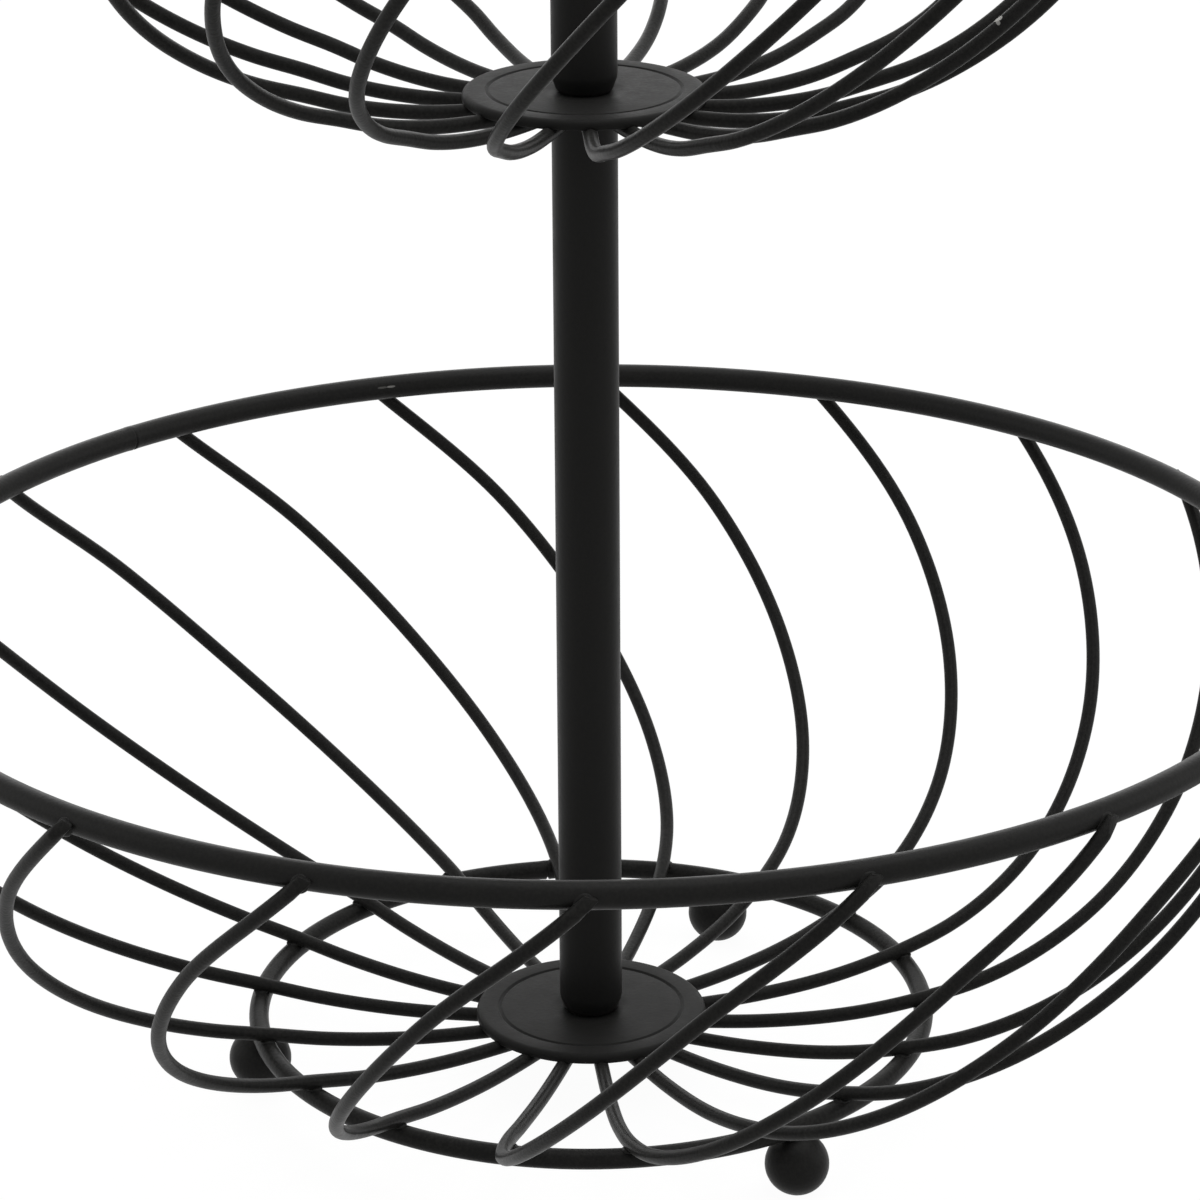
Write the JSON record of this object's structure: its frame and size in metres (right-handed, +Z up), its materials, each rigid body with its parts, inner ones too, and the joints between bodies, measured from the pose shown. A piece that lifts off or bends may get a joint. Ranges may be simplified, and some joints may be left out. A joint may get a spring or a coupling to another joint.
{
  "type": "tiered wire basket",
  "caption": "Tiered round bowls of swirled black wire on a centre column, standing on ball feet under a foot ring, with a lifting ring on top, for fruit and vegetables.",
  "frame": {"origin": "on the table, under the axis of the column: the bottom centre of the whole", "axes": "+Z up along the column, +X to the right and +Y away from the picture's camera"},
  "size_m": [0.3016, 0.305, 0.447],
  "materials": {
    "black_coat": "matte black powder coat on steel",
    "bare_steel": "zinc-plated steel screws and plugs, mostly hidden"
  },
  "bodies": {
    "root": {"lower_rim": "black_coat", "lower_wire_01": "black_coat", "lower_wire_02": "black_coat", "lower_wire_03": "black_coat", "lower_wire_04": "black_coat", "lower_wire_05": "black_coat", "lower_wire_06": "black_coat", "lower_wire_07": "black_coat", "lower_wire_08": "black_coat", "lower_wire_09": "black_coat", "lower_wire_10": "black_coat", "lower_wire_11": "black_coat", "lower_wire_12": "black_coat", "lower_wire_13": "black_coat", "lower_wire_14": "black_coat", "lower_wire_15": "black_coat", "lower_wire_16": "black_coat", "lower_wire_17": "black_coat", "lower_wire_18": "black_coat", "lower_plate": "black_coat", "foot_ring": "black_coat", "ball_foot_1": "black_coat", "ball_foot_2": "black_coat", "ball_foot_3": "black_coat", "upper_rim": "black_coat", "upper_wire_01": "black_coat", "upper_wire_02": "black_coat", "upper_wire_03": "black_coat", "upper_wire_04": "black_coat", "upper_wire_05": "black_coat", "upper_wire_06": "black_coat", "upper_wire_07": "black_coat", "upper_wire_08": "black_coat", "upper_wire_09": "black_coat", "upper_wire_10": "black_coat", "upper_wire_11": "black_coat", "upper_wire_12": "black_coat", "upper_wire_13": "black_coat", "upper_wire_14": "black_coat", "upper_wire_15": "black_coat", "upper_wire_16": "black_coat", "upper_wire_17": "black_coat", "upper_wire_18": "black_coat", "upper_plate": "black_coat", "lower_tube": "black_coat", "upper_tube": "black_coat", "handle_stem": "black_coat", "handle_ring": "black_coat", "lower_tube_base_plug": "bare_steel", "lower_tube_top_plug": "bare_steel", "upper_tube_base_plug": "bare_steel", "upper_tube_top_plug": "bare_steel", "joining_stud": "bare_steel", "base_screw": "bare_steel", "base_washer": "bare_steel"}
  },
  "joints": []
}
